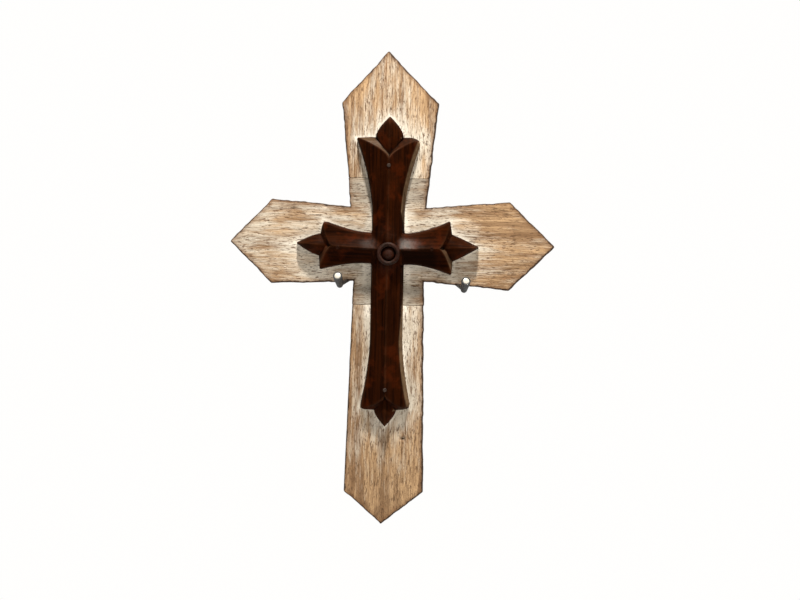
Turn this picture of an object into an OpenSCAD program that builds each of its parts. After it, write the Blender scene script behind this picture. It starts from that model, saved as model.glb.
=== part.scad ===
// Wooden wall cross: three whitewashed boards, a dark carved cross pinned on their front,
// and a two-hook bar on the wall that the crossbar rests on.
// X runs to the right, Z up, and the front faces -Y. The wall is the plane Y = 0.
// The origin lies on the wall, straight behind the crossing of the carved arms.

/* [Boards] */
// Thickness of the three boards
board_t = 18; // [16:1:22]
// Height of the head's tip above the crossing
head_tip = 167.5; // [160:0.5:185]
// Depth of the foot's tip below the crossing
foot_tip = 238.5; // [225:0.5:260]
// Reach of the left arm from the crossing
reach_left = 135; // [128:0.5:150]
// Reach of the right arm from the crossing
reach_right = 143.5; // [136:0.5:158]

/* [Upright boards] */
// Half-width of the upright above the crossbar
neck_half = 33; // [31:0.5:36]
// Half-width of the head at its shoulders
head_half = 42; // [38:0.5:48]
// Height of the head's point
head_point = 44.5; // [36:0.5:52]
// Half-width of the upright on the left, under the crossbar
waist_left = 29.5; // [28:0.5:30.5]
// Half-width of the upright on the right, under the crossbar
waist_right = 32; // [30:0.5:36]
// Half-width of the foot at its shoulders
foot_half = 34.5; // [32:0.5:35]
// Height of the foot's point
foot_point = 27.5; // [20:0.5:34]
// How far the hand-cut tips stray to the left of the axis
tip_stray = 2; // [0:0.5:4]

/* [Crossbar] */
// Height of the crossbar's upper edge at the upright
edge_up = 34; // [32:0.5:38]
// Height of the crossbar's upper edge at the arms' shoulders
edge_up_end = 40; // [36:0.5:44]
// Depth of the crossbar's lower edge at the upright
edge_down = 30.5; // [29:0.5:34]
// Depth of the crossbar's lower edge at the left shoulder
edge_down_left = 34; // [32:0.5:38]
// Depth of the crossbar's lower edge at the right shoulder
edge_down_right = 36.5; // [34:0.5:40]
// Length of the left arm's point
point_left = 35; // [30:0.5:42]
// Length of the right arm's point
point_right = 39; // [32:0.5:44]
// Height of the upper butt joint above the crossing
joint_up = 58.5; // [52:0.5:62]
// Depth of the lower butt joint below the crossing
joint_down = 50.5; // [46:0.5:56]

/* [Dowels] */
// Diameter of the dowels in the butt joints
dowel_d = 8; // [6:1:9]
// Length of a dowel
dowel_len = 32; // [26:1:36]
// Distance between the two dowels of a joint
dowel_gap = 36; // [32:1:44]

/* [Carved cross] */
// Height of the carved ridges above the boards
ridge_h = 13; // [12:0.5:16]
// Height of the arms' side edges above the boards
side_h = 6.5; // [6:0.5:7.5]
// Height of the ridges of the four leaves
leaf_h = 9.5; // [8:0.5:10]
// Half-width of the carved upright at its waist
carved_half = 14; // [13:0.5:15]
// Half-height of the carved crossarm at its waist
crossarm_half = 13.5; // [12.5:0.5:14.5]
// How far the crossarm sits below the crossing's centre
crossarm_drop = 1.5; // [0.5:0.5:2.5]
// Height of the top leaf's tip
leaf_top = 111.5; // [106:0.5:116]
// Depth of the bottom leaf's tip
leaf_bottom = 154.5; // [148:0.5:158]
// Reach of the two side leaves
leaf_side = 79; // [74:0.5:82]

/* [Boss] */
// Outer diameter of the ring
ring_d = 19.5; // [18:0.5:21]
// Diameter of the domed button
button_d = 12; // [11:0.5:13]
// How far the boss sits below the crossing of the ridges
boss_drop = 6; // [3:0.5:7]

/* [Brads] */
// Diameter of a brad's head
brad_head_d = 3.2; // [2.8:0.1:3.6]
// Diameter of a brad's shank
brad_d = 1.6; // [1.4:0.1:1.8]
// Length of a brad
brad_len = 21; // [19:0.5:23]

/* [Wall hook] */
// Thickness of the bar
bar_t = 6; // [5.5:0.5:8]
// Height of the bar
bar_h = 35; // [32:1:38]
// Distance between the two wall screws
screw_gap = 60; // [50:1:66]
// Diameter of a screw hole
screw_d = 4.5; // [4:0.1:5]
// Diameter of the hook wire
wire_d = 3; // [2.6:0.1:3.2]
// Place of the left hook, left of the crossing
hook_left = 35; // [34.5:0.5:36]
// Place of the right hook, right of the crossing
hook_right = 61; // [56:0.5:66]
// Reach of the hooks in front of the boards, to the elbow
hook_reach = 52; // [48:1:60]
// Length of the turned-up end
hook_end = 18; // [16:0.5:20]
// Slope of the turned-up end
hook_slope = 38; // [32:1:46]

/* [Hidden] */
$fn = 64;

eps = 0.01;             // overlap of a cutter past the face it cuts
body_gap = 0.3;         // air between the cross and the wall hook
fit_gap = 0.05;         // radial clearance of glued and pressed pins

back_y = bar_t + body_gap;        // depth of the boards' back, in front of the wall
face_y = back_y + board_t;        // depth of the boards' front
tip_rise = 2;                     // how far the side tips lie above the crossing
head_shoulder = head_tip - head_point;
foot_shoulder = foot_tip - foot_point;

// The joint line's half-widths follow the straight edges of the upright
function along(a, b, t) = a + (b - a) * t;
joint_up_half = along(neck_half, head_half, (joint_up - edge_up) / (head_shoulder - edge_up));
joint_down_t = (joint_down - edge_down) / (foot_shoulder - edge_down);
joint_left = along(waist_left, foot_half, joint_down_t);
joint_right = along(waist_right, foot_half, joint_down_t);

// Depth of the crossbar's lower edge beside the upright, at a distance from the crossing
shoulder_left = reach_left - point_left;
shoulder_right = reach_right - point_right;
function lower_left(x) =
    along(edge_down, edge_down_left, (x - waist_left) / (shoulder_left - waist_left));
function lower_right(x) =
    along(edge_down, edge_down_right, (x - waist_right) / (shoulder_right - waist_right));

// Carved arms, each one [direction, petal reach, petal half-width, waist half-width,
// start of the flare, notch apex, leaf reach, leaf half-width, leaf fullness, brad place,
// how far the arm's axis lies aside of the crossing's centre]
flare_power = 1.6;      // how late the sides of an arm swing outward
petal_lip = 1.5;        // how far the petals' inner corners stand past their tips
bevel_run = 5;          // how far the sloping notch wall runs from its top to its foot
arm_right_shape =
    [0, 54, 23.5, crossarm_half, 18, 42.5, leaf_side, 11.5, 1.1, 37, -crossarm_drop];
arm_up_shape = [90, 92.5, 28.5, carved_half, 30, 73, leaf_top, 12, 1.5, 68, 0];
arm_left_shape =
    [180, 57, 21.5, crossarm_half, 20, 46, leaf_side, 9.5, 1.1, 41.5, crossarm_drop];
arm_down_shape = [270, 139, 22, carved_half, 80, 124, leaf_bottom, 9.5, 1.5, 120, 0];
lap_h = 6;              // height of the half-lap's plane above the boards

boss_x = 1;             // sideways place of the boss
seat_h = 8;             // height of the flat seat of the boss
boss_top = 15.5;        // height of the ring's crest
stem_d = 5;             // diameter of the button's stem
stem_foot = 1;          // height of the stem's lower end
head_sink = 0.7;        // depth of a brad's head in the ridge
head_t = 1.1;           // thickness of a brad's head

wire_r = wire_d / 2;
bar_top = 9;            // height of the bar's upper edge
bar_side = 11;          // how far the bar runs past each hook
bar_corner = 3;         // radius of the bar's corners
sink_depth = 2.4;       // depth of a screw's countersink
leg_y = bar_t / 2;      // depth of the hooks' legs, inside the bar
leg_bend = bar_t / 2;   // radius of the bend under the boards
leg_top = bar_top - bar_h + 16;             // height of a leg's upper end, inside the bar
elbow_bend = 4;         // radius of the elbow
bend_swell = 0.02;      // how much thicker the wire is where it bends
elbow_y = face_y + hook_reach;              // depth of the elbow's corner
elbow_cut = elbow_bend * tan(hook_slope / 2);   // from the corner to the bend's ends
sleeve_foot_r = 2.5;    // radius of the sleeve at the elbow
sleeve_mouth_r = 3.4;   // radius of the sleeve at its mouth
tip_r = 2.6;            // radius of the bright tip
tip_sink = 0.8;         // depth of the tip's seat in the sleeve
tip_stem = 3;           // length of the tip's stem
tip_foot = hook_end - tip_sink - tip_stem;  // place of the stem's end along the turned-up end
hook_left_z = -lower_left(hook_left + wire_r) - body_gap - wire_r;
hook_right_z = -lower_right(hook_right + wire_r) - body_gap - wire_r;

// A slab from an outline drawn in the X-Z plane, reaching forward from a given depth
module slab(depth, thickness)
    translate([0, -depth, 0]) rotate([90, 0, 0]) linear_extrude(thickness) children();

// Local frame on the boards' front: X and Y in its plane, Z forward
module on_face() translate([0, -face_y, 0]) rotate([90, 0, 0]) children();

// Hole or pin along the depth, between two heights above the boards' front
module peg(x, z, low, high, r) on_face() translate([x, z, low]) cylinder(h = high - low, r = r);

// ---- boards ----

module dowel_pair_cut(z) {
    dowel(-dowel_gap / 2, z, fit_gap);
    dowel(dowel_gap / 2, z, fit_gap);
}

// A dowel with chamfered ends, centred on a joint, or its bore when grow is above zero
module dowel(x, z, grow) {
    nose = 1;
    r = dowel_d / 2 + grow;
    length = dowel_len + 2 * grow;
    translate([x, -back_y - board_t / 2, z - length / 2]) {
        translate([0, 0, nose]) cylinder(h = length - 2 * nose, r = r);
        cylinder(h = nose, r1 = r - nose / 2, r2 = r);
        translate([0, 0, length - nose]) cylinder(h = nose, r1 = r, r2 = r - nose / 2);
    }
}

module brad_holes() {
    for (shape = [arm_right_shape, arm_up_shape, arm_left_shape, arm_down_shape])
        brad(shape, fit_gap);
}

module crossbar() color("burlywood") difference() {
    slab(back_y, board_t) polygon([
        [-reach_left, tip_rise], [-shoulder_left, edge_up_end], [-neck_half, edge_up],
        [-joint_up_half, joint_up], [joint_up_half, joint_up], [neck_half, edge_up],
        [shoulder_right, edge_up_end], [reach_right, tip_rise],
        [shoulder_right, -edge_down_right], [waist_right, -edge_down],
        [joint_right, -joint_down], [-joint_left, -joint_down],
        [-waist_left, -edge_down], [-shoulder_left, -edge_down_left]]);
    dowel_pair_cut(joint_up);
    dowel_pair_cut(-joint_down);
    brad_holes();
}

module upright_top() color("wheat") difference() {
    slab(back_y, board_t) polygon([
        [-joint_up_half, joint_up], [-head_half, head_shoulder], [-tip_stray, head_tip],
        [head_half, head_shoulder], [joint_up_half, joint_up]]);
    dowel_pair_cut(joint_up);
    brad_holes();
}

module upright_bottom() color("wheat") difference() {
    slab(back_y, board_t) polygon([
        [-joint_left, -joint_down], [joint_right, -joint_down], [foot_half, -foot_shoulder],
        [-tip_stray, -foot_tip], [-foot_half, -foot_shoulder]]);
    dowel_pair_cut(-joint_down);
    brad_holes();
}

module glued_dowel(side, z) color("tan") dowel(side * dowel_gap / 2, z, 0);

// ---- carved cross ----

// Names for the entries of an arm's shape
function petal_s(a) = a[1];
function petal_w(a) = a[2];
function waist_w(a) = a[3];
function flare_s(a) = a[4];
function apex_s(a) = a[5];
function leaf_s(a) = a[6];
function leaf_w(a) = a[7];
function leaf_power(a) = a[8];
function brad_s(a) = a[9];

// Frame of an arm, with X along its axis
module at_arm(a) rotate([0, 0, a[0]]) translate([0, a[10], 0]) children();

// Half-width of an arm at a distance s from the crossing, straight and then flared
function arm_half(a, s) = s < flare_s(a) ? waist_w(a)
    : along(waist_w(a), petal_w(a), pow((s - flare_s(a)) / (petal_s(a) - flare_s(a)), flare_power));

// Half-width of a leaf, full at the petals and closing to its tip
function leaf_half(a, s) =
    leaf_w(a) * (1 - pow((s - petal_s(a)) / (leaf_s(a) - petal_s(a)), leaf_power(a)));

// Mirrors one side of an outline to close it
function both_sides(side) =
    concat(side, [for (i = [len(side) - 1 : -1 : 0]) [side[i][0], -side[i][1]]]);

// A prism along an arm with a roof section: a ridge, two slopes and upright sides
module roof(length, top, mid_w, mid_h, edge_w, edge_h)
    rotate([90, 0, 90]) linear_extrude(length) polygon([
        [-edge_w, 0], [edge_w, 0], [edge_w, edge_h], [mid_w, mid_h], [0, top],
        [-mid_w, mid_h], [-edge_w, edge_h]]);

// The V notch between the petals, with walls that slope down to the leaf
module notch(a) {
    spread = 1.5;       // how far the V is drawn past the petals' tips
    top_run = [petal_s(a) - apex_s(a), petal_w(a)] * spread;
    foot = apex_s(a) + bevel_run;
    foot_run = [petal_s(a) + petal_lip - foot, leaf_w(a)] * spread;
    hull() {
        translate([apex_s(a), 0, ridge_h]) linear_extrude(1)
            polygon([[0, 0], top_run, [top_run[0], -top_run[1]]]);
        translate([foot, 0, leaf_h / 2]) linear_extrude(eps)
            polygon([[0, 0], foot_run, [foot_run[0], -foot_run[1]]]);
    }
}

module leaf(a) {
    steps = 8;
    side = concat([[apex_s(a), 1]], [for (i = [0 : steps - 1])
        let (s = along(petal_s(a), leaf_s(a), i / steps)) [s, leaf_half(a, s)]],
        [[leaf_s(a), 0]]);
    intersection() {
        linear_extrude(leaf_h) polygon(both_sides(side));
        roof(leaf_s(a), leaf_h, leaf_w(a), leaf_h / 2, petal_w(a), leaf_h / 2);
    }
}

module arm(a) {
    steps = 10;
    flare = [for (i = [0 : steps])
        let (s = along(flare_s(a), petal_s(a), i / steps)) [s, arm_half(a, s)]];
    side = concat([[0, waist_w(a)]], flare, [[petal_s(a) + petal_lip, leaf_w(a)]]);
    at_arm(a) {
        difference() {
            intersection() {
                linear_extrude(ridge_h) polygon(both_sides(side));
                roof(petal_s(a) + petal_lip, ridge_h, waist_w(a), side_h + 1,
                     petal_w(a), side_h - 1);
            }
            notch(a);
        }
        leaf(a);
    }
}

// The crossarm's room in the crossing, between two heights
module crossing(low, high)
    translate([-carved_half, -crossarm_half - crossarm_drop, low])
        cube([2 * carved_half, 2 * crossarm_half, high - low]);

module stem_hole() peg(boss_x, -boss_drop, stem_foot, ridge_h, stem_d / 2 + fit_gap);

module carved_upright() color([0.25, 0.11, 0.06]) difference() {
    on_face() union() {
        difference() {
            union() {
                arm(arm_up_shape);
                arm(arm_down_shape);
            }
            crossing(-eps, lap_h);
        }
        intersection() {
            union() {
                arm(arm_left_shape);
                arm(arm_right_shape);
            }
            crossing(lap_h, ridge_h);
        }
    }
    peg(boss_x, -boss_drop, seat_h, ridge_h + eps, ring_d / 2 + fit_gap);
    stem_hole();
    brad_holes();
}

module carved_crossarm() color([0.3, 0.13, 0.07]) difference() {
    on_face() difference() {
        union() {
            arm(arm_left_shape);
            arm(arm_right_shape);
        }
        crossing(lap_h, ridge_h + eps);
    }
    stem_hole();
    brad_holes();
}

module on_boss() on_face() translate([boss_x, -boss_drop, 0]) children();

module boss_ring() color([0.28, 0.13, 0.07]) on_boss() {
    inner = button_d / 2 + 0.2;
    band = ring_d / 2 - inner;
    rotate_extrude() translate([inner, 0]) {
        translate([0, seat_h]) square([band, boss_top - band / 2 - seat_h]);
        translate([band / 2, boss_top - band / 2]) circle(d = band);
    }
}

module boss_button() color([0.22, 0.1, 0.05]) on_boss() {
    dome_r = button_d;          // radius of the dome's sphere
    rim = boss_top - 2.5;       // height of the dome's rim
    sag = dome_r - sqrt(dome_r * dome_r - button_d * button_d / 4);
    translate([0, 0, seat_h]) cylinder(h = rim - seat_h, d = button_d);
    translate([0, 0, stem_foot]) cylinder(h = rim - stem_foot, d = stem_d);
    intersection() {
        translate([0, 0, rim + sag - dome_r]) sphere(r = dome_r);
        translate([0, 0, rim - eps]) cylinder(h = sag + 2 * eps, d = button_d);
    }
}

// ---- brads ----

// A brad on an arm's ridge, or its hole when grow is above zero
module brad(a, grow)
    on_face() at_arm(a) translate([brad_s(a), 0, ridge_h - head_sink]) {
        cylinder(h = head_t + grow * head_t / fit_gap, r = brad_head_d / 2 + grow);
        translate([0, 0, -brad_len + head_t - grow])
            cylinder(h = brad_len - head_t + 2 * grow, r = brad_d / 2 + grow);
    }

module steel_brad(a) color("dimgray") brad(a, 0);

// ---- wall hook ----

// Frame at a hook's elbow, with Z along the turned-up end
module at_elbow(x, z)
    translate([x, -elbow_y, z]) rotate([90 - hook_slope, 0, 0]) children();

// The curved stretch at the elbow
module elbow(x, z, r)
    translate([x, elbow_cut - elbow_y, z + elbow_bend]) rotate([0, 90, 180])
        rotate_extrude(angle = hook_slope)
            translate([elbow_bend, 0]) circle(r = r + bend_swell);

// The wire of one hook: a leg in the bar, a bend, the long reach, the elbow and the end
module wire(x, z, r, stop) {
    translate([x, -leg_y, z + leg_bend]) cylinder(h = leg_top - leg_bend - z, r = r);
    translate([x, -leg_y - leg_bend, z + leg_bend]) rotate([-90, 0, 0]) rotate([0, -90, 0])
        rotate_extrude(angle = 90) translate([leg_bend, 0]) circle(r = r + bend_swell);
    translate([x, -leg_y - leg_bend, z]) rotate([90, 0, 0])
        cylinder(h = elbow_y - elbow_cut - leg_y - leg_bend, r = r);
    elbow(x, z, r);
    at_elbow(x, z) translate([0, 0, elbow_cut]) cylinder(h = stop - elbow_cut, r = r);
}

module hook_rod(x, z) color("dimgray") wire(x, z, wire_r, tip_foot - fit_gap);

// The black sleeve over the turned-up end
module hook_sleeve(x, z) color([0.1, 0.1, 0.1]) at_elbow(x, z) difference() {
    translate([0, 0, elbow_cut])
        cylinder(h = hook_end - elbow_cut, r1 = sleeve_foot_r, r2 = sleeve_mouth_r);
    cylinder(h = hook_end, r = wire_r + fit_gap);
    translate([0, 0, hook_end - tip_sink]) cylinder(h = 2 * tip_sink, r = tip_r + fit_gap);
}

// The bright domed rivet in the sleeve's mouth
module hook_tip(x, z) color("ivory") at_elbow(x, z) {
    dome_r = 2 * tip_r;
    sag = dome_r - sqrt(dome_r * dome_r - tip_r * tip_r);
    translate([0, 0, tip_foot]) cylinder(h = tip_stem, r = wire_r);
    translate([0, 0, hook_end - tip_sink]) cylinder(h = tip_sink, r = tip_r);
    translate([0, 0, hook_end]) intersection() {
        translate([0, 0, sag - dome_r]) sphere(r = dome_r);
        cylinder(h = sag + eps, r = tip_r);
    }
}

module screw_hole(x) translate([x, eps, 0]) rotate([90, 0, 0]) {
    cylinder(h = bar_t + 2 * eps, r = screw_d / 2);
    translate([0, 0, bar_t + 2 * eps - sink_depth])
        cylinder(h = sink_depth, r1 = screw_d / 2, r2 = screw_d / 2 + sink_depth);
}

module hook_bar() color([0.15, 0.15, 0.16]) difference() {
    left = -hook_left - bar_side;
    right = hook_right + bar_side;
    slab(0, bar_t) {
        translate([left + bar_corner, bar_top - bar_h])
            square([right - left - 2 * bar_corner, bar_h]);
        translate([left, bar_top - bar_h + bar_corner])
            square([right - left, bar_h - 2 * bar_corner]);
        for (x = [left + bar_corner, right - bar_corner],
             z = [bar_top - bar_h + bar_corner, bar_top - bar_corner])
            translate([x, z]) circle(r = bar_corner);
    }
    screw_hole(-screw_gap / 2);
    screw_hole(screw_gap / 2);
    wire(-hook_left, hook_left_z, wire_r + fit_gap, hook_end);
    wire(hook_right, hook_right_z, wire_r + fit_gap, hook_end);
}

crossbar();
upright_top();
upright_bottom();
glued_dowel(-1, joint_up);  // dowel_top_left
glued_dowel(1, joint_up);  // dowel_top_right
glued_dowel(-1, -joint_down);  // dowel_bottom_left
glued_dowel(1, -joint_down);  // dowel_bottom_right
carved_upright();
carved_crossarm();
boss_ring();
boss_button();
steel_brad(arm_up_shape);  // brad_top
steel_brad(arm_down_shape);  // brad_bottom
steel_brad(arm_left_shape);  // brad_left
steel_brad(arm_right_shape);  // brad_right
hook_rod(-hook_left, hook_left_z);  // hook_rod_left
hook_rod(hook_right, hook_right_z);  // hook_rod_right
hook_sleeve(-hook_left, hook_left_z);  // hook_sleeve_left
hook_sleeve(hook_right, hook_right_z);  // hook_sleeve_right
hook_tip(-hook_left, hook_left_z);  // hook_tip_left
hook_tip(hook_right, hook_right_z);  // hook_tip_right
hook_bar();
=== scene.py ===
"""Looks of the wooden wall cross: three whitewashed boards, a dark carved cross pinned on their
front, and the two-hook wall bar that they rest on.

Shapes are worked out in millimetres, in the frame's axes: X right, Z up, the front towards -Y.
The boards and the carved cross are skins of closed fields: a field is negative inside the piece."""

import itertools
import math
from collections import namedtuple

import bpy
import numpy as np
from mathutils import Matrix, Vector


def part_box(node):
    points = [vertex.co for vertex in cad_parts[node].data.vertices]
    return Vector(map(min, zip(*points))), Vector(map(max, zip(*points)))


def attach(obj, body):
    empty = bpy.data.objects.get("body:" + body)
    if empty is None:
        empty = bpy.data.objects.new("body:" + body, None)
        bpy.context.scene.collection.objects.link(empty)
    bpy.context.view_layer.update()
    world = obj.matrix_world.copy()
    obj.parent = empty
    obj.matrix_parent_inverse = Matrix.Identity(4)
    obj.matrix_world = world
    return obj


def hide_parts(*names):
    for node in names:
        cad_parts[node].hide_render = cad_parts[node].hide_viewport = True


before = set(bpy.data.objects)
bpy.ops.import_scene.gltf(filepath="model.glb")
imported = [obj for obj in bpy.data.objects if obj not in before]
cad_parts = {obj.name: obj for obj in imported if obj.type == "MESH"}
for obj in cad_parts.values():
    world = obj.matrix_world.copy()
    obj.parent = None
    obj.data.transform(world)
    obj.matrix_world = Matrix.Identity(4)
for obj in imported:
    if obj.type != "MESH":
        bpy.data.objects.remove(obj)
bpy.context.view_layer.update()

MM = 0.001


# ---- measures taken from the frame ----

def span(node):
    """Lowest and highest corner of a CAD node, in millimetres."""
    low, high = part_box(node)
    return np.array(low) / MM, np.array(high) / MM


def middle(node):
    """Centre of a CAD node's box, in millimetres."""
    return sum(span(node)) / 2


bar_low, bar_high = span("crossbar")
head_high = span("upright_top")[1]
foot_low, foot_high = span("upright_bottom")
carved_low, carved_high = span("carved_upright")
crossarm_low, crossarm_high = span("carved_crossarm")
ring_low, ring_high = span("boss_ring")
button_low, button_high = span("boss_button")
plate_low, plate_high = span("hook_bar")

FRONT = bar_low[1]                      # depth of the boards' front
BACK = bar_high[1]                      # depth of the boards' back
SEAM_UP, SEAM_DOWN = bar_high[2], bar_low[2]
RIDGE = FRONT - carved_low[1]           # height of the carved ridges above the boards
BOSS_X, _, BOSS_Z = middle("boss_ring")
RING_R = (ring_high[0] - ring_low[0]) / 2
BOSS_TOP = FRONT - ring_low[1]
GAP = 0.05                              # clearance round pins and seats in their bores


# ---- fields ----

def noise(coords, size, seed):
    """Smooth random waves between -1 and 1, about one wave per size; size may differ by axis."""
    rng = np.random.RandomState(seed)
    table = rng.uniform(-1, 1, 4096)
    sizes = size if isinstance(size, tuple) else (size,) * len(coords)
    cells, parts = [], []
    for c, s in zip(coords, sizes):
        p = np.asarray(c, float) / s + rng.uniform(20, 90)
        i = np.floor(p).astype(np.int64)
        t = p - i
        cells.append(i)
        parts.append(t * t * (3 - 2 * t))
    total = 0.0
    for corner in itertools.product((0, 1), repeat=len(coords)):
        weight, key = 1.0, 0
        for k, i, t, prime in zip(corner, cells, parts, (73856093, 19349663, 83492791)):
            weight = weight * (t if k else 1 - t)
            key = key ^ ((i + k) * prime)
        total = total + weight * table[key & 4095]
    return total


def smooth_max(a, b, k):
    h = np.maximum(k - np.abs(a - b), 0) / k
    return np.maximum(a, b) + h * h * k / 4


def smooth_min(a, b, k):
    return -smooth_max(-a, -b, k)


def smooth_step(a, b, x):
    t = np.clip((x - a) / (b - a), 0, 1)
    return t * t * (3 - 2 * t)


def outline_field(x, z, points):
    """Distance to a closed outline in the X-Z plane, negative inside it."""
    nearest = np.full(np.broadcast(x, z).shape, 1e12)
    inside = np.zeros(nearest.shape, bool)
    for (ax, az), (bx, bz) in zip(points, points[1:] + points[:1]):
        ex, ez = bx - ax, bz - az
        wx, wz = x - ax, z - az
        t = np.clip((wx * ex + wz * ez) / (ex * ex + ez * ez), 0, 1)
        nearest = np.minimum(nearest, (wx - ex * t) ** 2 + (wz - ez * t) ** 2)
        if ez:
            inside ^= ((az > z) != (bz > z)) & (wx < ex * wz / ez)
    return np.where(inside, -1, 1) * np.sqrt(nearest)


def slope(field, x, z, dx, dz):
    """How fast a plan field rises along (dx, dz), over that length each way."""
    return (field(x + dx, z + dz) - field(x - dx, z - dz)) / (2 * math.hypot(dx, dz))


def inset(points, by):
    """The outline with every side moved inwards."""
    area = sum(ax * bz - bx * az for (ax, az), (bx, bz) in zip(points, points[1:] + points[:1]))
    turn = by if area > 0 else -by
    moved = []
    for i, (px, pz) in enumerate(points):
        (ax, az), (bx, bz) = points[i - 1], points[(i + 1) % len(points)]
        u = np.array([px - ax, pz - az]) / math.hypot(px - ax, pz - az)
        v = np.array([bx - px, bz - pz]) / math.hypot(bx - px, bz - pz)
        nu, nv = np.array([-u[1], u[0]]), np.array([-v[1], v[0]])
        moved.append(tuple(np.array([px, pz]) + turn * (nu + nv) / (1 + nu @ nv)))
    return moved


def skin(field, low, high, step):
    """Vertices and quads of the closed surface field(x, y, z) = 0, about one quad per step."""
    axes = [np.arange(a - 2.6 * step, b + 3.6 * step, step) for a, b in zip(low, high)]
    shape = tuple(len(a) for a in axes)
    value = np.broadcast_to(field(*np.meshgrid(*axes, indexing="ij", sparse=True)), shape)
    keys, points, quads = [], [], []
    for axis in range(3):
        u, v = (axis + 1) % 3, (axis + 2) % 3
        a = np.take(value, range(shape[axis] - 1), axis)
        b = np.take(value, range(1, shape[axis]), axis)
        at = np.argwhere((a < 0) != (b < 0))
        a, b = a[tuple(at.T)], b[tuple(at.T)]
        point = at.astype(float)
        point[:, axis] += a / (a - b)
        corners = []
        for du, dv in ((0, 0), (-1, 0), (-1, -1), (0, -1)):
            cell = at.copy()
            cell[:, u] += du
            cell[:, v] += dv
            corners.append(np.ravel_multi_index(tuple(cell.T), shape))
        ring = np.stack(corners, 1)
        ring[a > 0] = ring[a > 0][:, ::-1]
        quads.append(ring)
        keys.append(ring.ravel())
        points.append(np.repeat(point, 4, axis=0))
    _, index = np.unique(np.concatenate(keys), return_inverse=True)
    points = np.concatenate(points)
    count = np.bincount(index)
    verts = np.stack([np.bincount(index, points[:, k]) / count for k in range(3)], 1)
    verts = verts * step + np.array([a[0] for a in axes])
    reach = 0.6 * step
    home = verts.copy()
    for _ in range(2):
        here = field(*verts.T)
        slope = np.stack([
            (field(*(verts + e).T) - here) / 0.02 for e in np.eye(3) * 0.02], 1)
        verts = verts - slope * (here / np.maximum((slope ** 2).sum(1), 0.05))[:, None]
        verts = home + np.clip(verts - home, -reach, reach)
    return verts, index.reshape(-1, 4)


# ---- meshes ----

def build(name, verts, faces):
    """A mesh object from points in millimetres."""
    mesh = bpy.data.meshes.new(name)
    mesh.from_pydata((np.asarray(verts) * MM).tolist(), [], np.asarray(faces).tolist()
                     if isinstance(faces, np.ndarray) else faces)
    mesh.update()
    obj = bpy.data.objects.new(name, mesh)
    bpy.context.scene.collection.objects.link(obj)
    return obj


def carve(obj, tools, operation="DIFFERENCE"):
    """Cuts obj with closed tools, which are then removed."""
    for tool in tools:
        cut = obj.modifiers.new("cut", "BOOLEAN")
        cut.solver, cut.operation, cut.object = "MANIFOLD", operation, tool
    bpy.context.view_layer.objects.active = obj
    with bpy.context.temp_override(object=obj, active_object=obj):
        for name in [m.name for m in obj.modifiers]:
            bpy.ops.object.modifier_apply(modifier=name)
    for tool in tools:
        bpy.data.objects.remove(tool)


def hoops(name, rings, closed=False):
    """A closed solid from rings of points, capped at both ends or, if closed, joined up.

    A ring of one point is a pole."""
    starts = np.cumsum([0] + [len(ring) for ring in rings])
    verts = [tuple(p) for ring in rings for p in ring]
    rows = [range(start, start + len(ring)) for start, ring in zip(starts, rings)]
    segments = max(len(row) for row in rows)
    faces = []
    for a, b in zip(rows, rows[1:] + rows[:closed]):
        for k in range(segments):
            n = (k + 1) % segments
            if len(a) == 1:
                faces.append((a[0], b[n], b[k]))
            elif len(b) == 1:
                faces.append((a[k], a[n], b[0]))
            else:
                faces.append((a[k], a[n], b[n], b[k]))
    if not closed and len(rows[0]) > 1:
        faces.append(tuple(reversed(rows[0])))
    if not closed and len(rows[-1]) > 1:
        faces.append(tuple(rows[-1]))
    return build(name, verts, faces)


def circle(centre, side, up, radius, segments):
    """Points round a centre, in the plane of two unit vectors."""
    if radius < 1e-6:
        return [centre]
    turns = (2 * math.pi * k / segments for k in range(segments))
    return [centre + (side * math.cos(t) + up * math.sin(t)) * radius for t in turns]


def lathe(name, profile, centre, axis, segments=48, closed=False):
    """A solid turned round an axis; profile lists (radius, place along the axis)."""
    axis = Vector(axis).normalized()
    side = axis.orthogonal().normalized()
    up = axis.cross(side)
    return hoops(name, [circle(Vector(centre) + axis * along, side, up, radius, segments)
                        for radius, along in profile], closed)


def soften(obj, sharp=35):
    """Smooth shading, with the cut edges kept crisp."""
    obj.data.shade_smooth()
    obj.data.set_sharp_from_angle(angle=math.radians(sharp))


def places(obj):
    co = np.zeros(len(obj.data.vertices) * 3, np.float32)
    obj.data.vertices.foreach_get("co", co)
    return (co.reshape(-1, 3) / MM).T.astype(float)


def reshape(obj, x, y, z):
    """Puts the vertices at new places, in millimetres."""
    obj.data.vertices.foreach_set("co", (np.stack([x, y, z], 1) * MM).astype(np.float32).ravel())
    obj.data.update()


def paint(obj, name, values):
    """Stores a number for each vertex, which the materials read."""
    layer = obj.data.attributes.new(name, "FLOAT", "POINT")
    layer.data.foreach_set("value", np.broadcast_to(values, len(obj.data.vertices))
                           .astype(np.float32))


def place(obj, body, nodes, material):
    obj.data.materials.clear()
    obj.data.materials.append(material)
    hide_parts(*nodes)
    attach(obj, body)


# ---- shader graphs ----

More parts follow.
